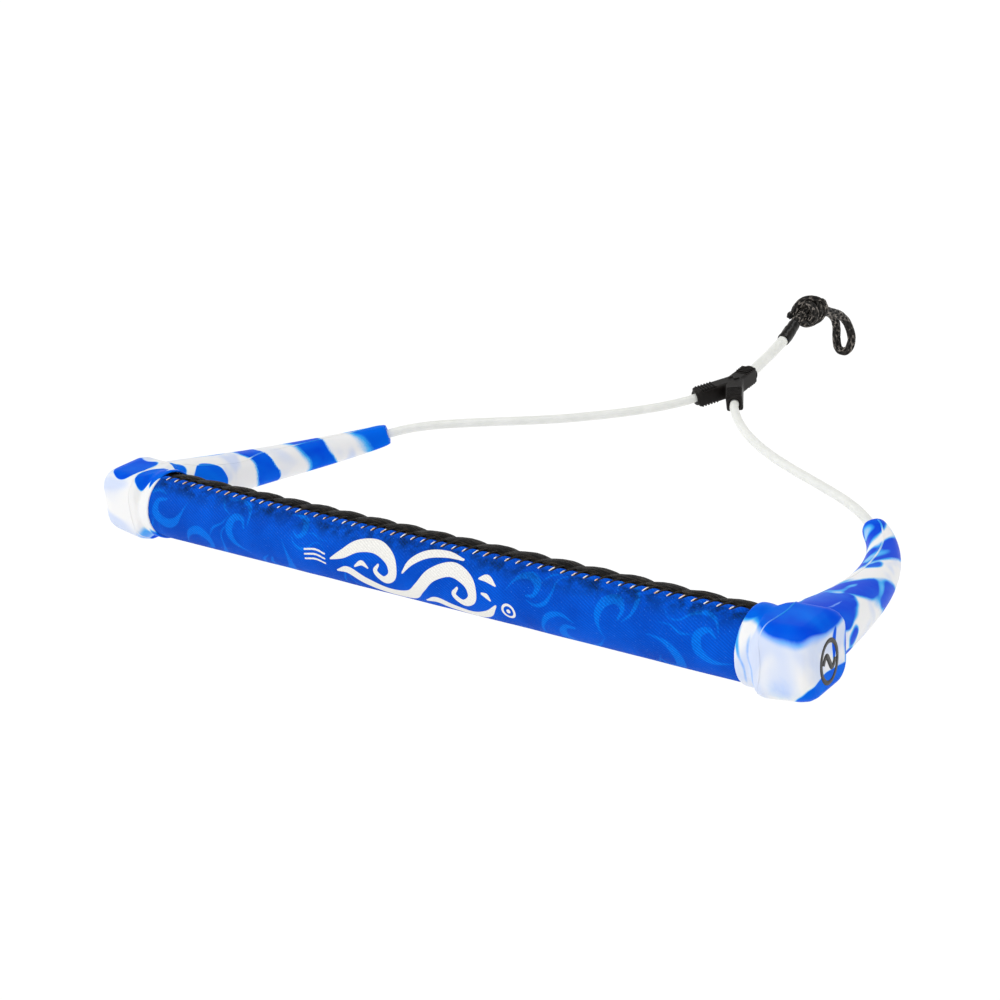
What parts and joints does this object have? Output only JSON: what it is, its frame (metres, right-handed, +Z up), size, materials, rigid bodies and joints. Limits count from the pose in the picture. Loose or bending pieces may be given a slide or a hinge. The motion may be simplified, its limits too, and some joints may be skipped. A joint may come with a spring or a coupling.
{
  "type": "tow rope handle",
  "caption": "Padded straight grip bar with moulded end caps, whose horns lead a rope bridle to a Y moulding, a short leader and a knotted tow loop.",
  "frame": {"origin": "on the surface that the handle lies on, under the centre of the bar and its end caps", "axes": "+X along the bar, +Y from the bar towards the tow line, +Z up"},
  "size_m": [0.384, 0.3903, 0.0428],
  "materials": {
    "aluminium": "drawn, satin",
    "float_foam": "closed-cell foam",
    "eva_foam": "soft closed-cell foam",
    "blue_fabric": "stretch twill with a tone-on-tone print",
    "black_strip": "ribbed, scalloped webbing",
    "seam_thread": "whip-stitched thread",
    "marbled_rubber": "moulded, satin, marbled blue and white",
    "coated_rope": "smooth coating, semi-gloss",
    "black_plastic": "moulded, semi-gloss",
    "black_rope": "waxed braid",
    "grey_plastic": "moulded, satin",
    "core_rope": "braid"
  },
  "bodies": {
    "handle": {"bar_tube": "aluminium", "float_core": "float_foam", "end_plug_left": "grey_plastic", "end_plug_right": "grey_plastic", "grip_foam": "eva_foam", "grip_cover": "blue_fabric", "grip_back_strip": "black_strip", "seam_cord_front": "seam_thread", "seam_cord_back": "seam_thread", "end_cap_left": "marbled_rubber", "end_cap_right": "marbled_rubber", "rope_root_left": "coated_rope", "rope_root_right": "coated_rope", "rope_stop_left": "aluminium", "rope_stop_right": "aluminium"},
    "bridle": {"bridle_leg_left": "coated_rope", "bridle_leg_right": "coated_rope", "yoke_body": "black_plastic", "leader_root": "coated_rope"},
    "leader": {"leader_jacket": "coated_rope", "leader_core": "core_rope", "shrink_sleeve": "black_plastic"},
    "tow": {"tow_knot": "black_rope", "knot_tail": "black_rope", "tow_loop": "black_rope"}
  },
  "joints": [
    {"name": "bridle_swing", "type": "hinge", "parent": "handle", "child": "bridle", "pos_m": [0, 0.0762, 0.0107], "axis": [1, 0, 0], "range_deg": [-30, 60], "stiffness_Nm_per_rad": 0.6, "springref_deg": 1.43},
    {"name": "leader_swing", "type": "hinge", "parent": "bridle", "child": "leader", "pos_m": [0, 0.2098, 0.0214], "axis": [0, 0, 1], "range_deg": [-40, 40], "stiffness_Nm_per_rad": 0.15},
    {"name": "loop_swing", "type": "hinge", "parent": "leader", "child": "tow", "pos_m": [0, 0.2582, 0.0354], "axis": [1, 0, 0], "range_deg": [-40, 45], "stiffness_Nm_per_rad": 0.05, "springref_deg": 0.34}
  ]
}
